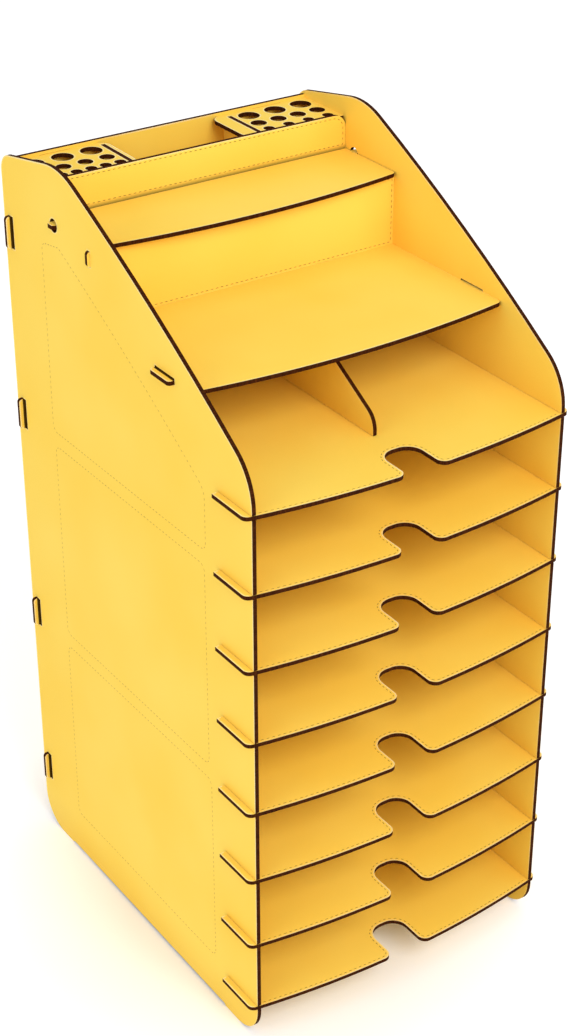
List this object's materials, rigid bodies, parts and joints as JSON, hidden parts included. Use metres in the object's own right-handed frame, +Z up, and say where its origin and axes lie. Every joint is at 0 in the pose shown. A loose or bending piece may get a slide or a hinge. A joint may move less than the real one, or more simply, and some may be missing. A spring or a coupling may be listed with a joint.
{
  "type": "document tray tower",
  "caption": "Slot-together desk tower: document trays held between shaped side panels, with a stepped top that carries a box with a hinged lid and a pen box.",
  "frame": {"origin": "middle of the footprint, on the table", "axes": "+Z up, +Y from the front to the back, +X to the right of someone who faces the front"},
  "size_m": [0.262, 0.3272, 0.5881],
  "materials": {
    "board": "satin yellow face with dark cut edges"
  },
  "bodies": {
    "frame": {"left_side_panel": "board", "right_side_panel": "board", "back_panel": "board", "step_shelf": "board", "step_riser": "board", "pen_box_front": "board", "left_pen_divider": "board", "right_pen_divider": "board", "left_pen_plate": "board", "right_pen_plate": "board", "centre_divider": "board"},
    "tray_1": {"tray_1": "board"},
    "tray_2": {"tray_2": "board"},
    "tray_3": {"tray_3": "board"},
    "tray_4": {"tray_4": "board"},
    "tray_5": {"tray_5": "board"},
    "tray_6": {"tray_6": "board"},
    "tray_7": {"tray_7": "board"},
    "tray_8": {"tray_8": "board"},
    "box_lid": {"box_lid": "board"}
  },
  "joints": [
    {"name": "tray_1_slide", "type": "slide", "parent": "frame", "child": "tray_1", "axis": [0, -1, 0], "range_m": [0, 0.32]},
    {"name": "tray_2_slide", "type": "slide", "parent": "frame", "child": "tray_2", "axis": [0, -1, 0], "range_m": [0, 0.32]},
    {"name": "tray_3_slide", "type": "slide", "parent": "frame", "child": "tray_3", "axis": [0, -1, 0], "range_m": [0, 0.32]},
    {"name": "tray_4_slide", "type": "slide", "parent": "frame", "child": "tray_4", "axis": [0, -1, 0], "range_m": [0, 0.32]},
    {"name": "tray_5_slide", "type": "slide", "parent": "frame", "child": "tray_5", "axis": [0, -1, 0], "range_m": [0, 0.32]},
    {"name": "tray_6_slide", "type": "slide", "parent": "frame", "child": "tray_6", "axis": [0, -1, 0], "range_m": [0, 0.32]},
    {"name": "tray_7_slide", "type": "slide", "parent": "frame", "child": "tray_7", "axis": [0, -1, 0], "range_m": [0, 0.32]},
    {"name": "tray_8_slide", "type": "slide", "parent": "frame", "child": "tray_8", "axis": [0, -1, 0], "range_m": [0, 0.32]},
    {"name": "lid_hinge", "type": "hinge", "parent": "frame", "child": "box_lid", "pos_m": [0, 0.08961, 0.5459], "axis": [-1, 0, 0], "range_deg": [0, 107]}
  ]
}
